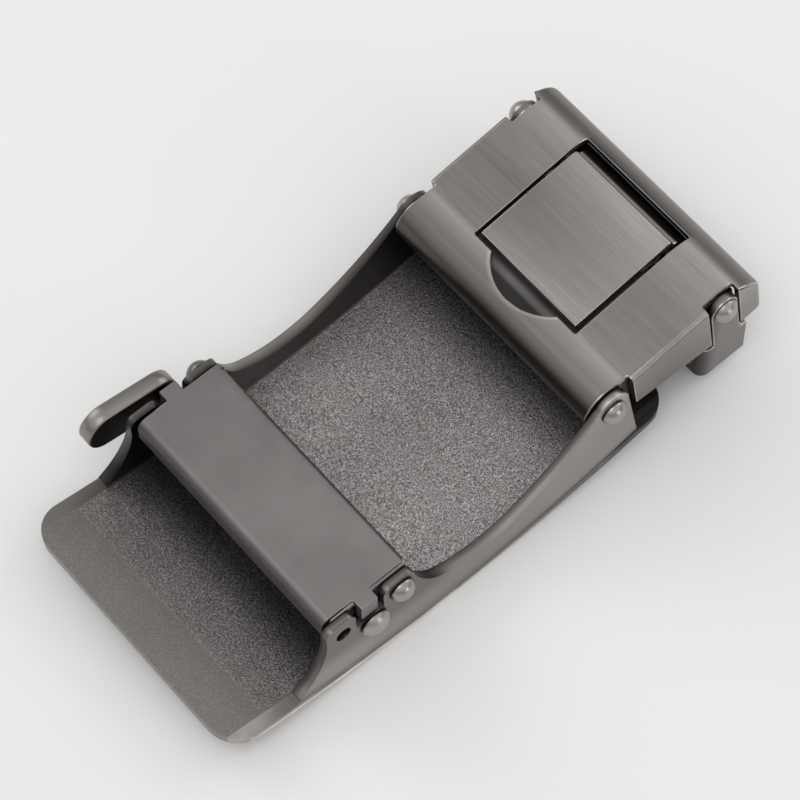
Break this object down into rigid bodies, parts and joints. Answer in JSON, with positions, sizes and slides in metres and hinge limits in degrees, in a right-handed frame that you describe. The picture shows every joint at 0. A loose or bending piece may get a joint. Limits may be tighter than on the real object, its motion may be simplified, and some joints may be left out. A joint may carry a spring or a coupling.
{
  "type": "ratchet belt buckle",
  "caption": "Ratchet belt buckle: bowed face plate with a walled strap channel, a covered pawl with a side release lever, and a hinged clamp with a flip-up locking flap.",
  "frame": {"origin": "lowest line of the bowed face, at the middle of the face plate's length and width", "axes": "+X along the belt from the free end to the hinged clamp, +Y across the belt to the release lever's side, +Z from the face to the wearer"},
  "size_m": [0.0886, 0.044, 0.0217],
  "materials": {
    "plated_cast": "gunmetal plating on zinc casting, satin, with a fine pebble grain on the channel floor",
    "satin_sheet": "gunmetal plating on steel sheet, bead-blasted satin",
    "brushed_sheet": "gunmetal plating, brushed across the belt",
    "satin_pin": "gunmetal plating on steel, satin"
  },
  "bodies": {
    "case": {"face_plate": "plated_cast", "ratchet_cover": "satin_sheet", "cover_pin": "satin_pin", "hinge_pin": "satin_pin"},
    "lever": {"release_lever": "satin_pin", "pawl": "plated_cast"},
    "clamp": {"clamp_bracket": "plated_cast", "clamp_frame": "brushed_sheet", "lower_jaw": "plated_cast", "flap_pin": "satin_pin"},
    "flap": {"flap_lever": "brushed_sheet"}
  },
  "joints": [
    {"name": "lever_hinge", "type": "hinge", "parent": "case", "child": "lever", "pos_m": [-0.0129, 0, 0.0098], "axis": [0, -1, 0], "range_deg": [0, 25], "stiffness_Nm_per_rad": 0.03, "springref_deg": -8.59},
    {"name": "clamp_hinge", "type": "hinge", "parent": "case", "child": "clamp", "pos_m": [0.0263, 0, 0.015], "axis": [0, -1, 0], "range_deg": [-5, 70]},
    {"name": "flap_hinge", "type": "hinge", "parent": "clamp", "child": "flap", "pos_m": [0.04509, 0, 0.01825], "axis": [0, 1, 0], "range_deg": [0, 50]}
  ]
}
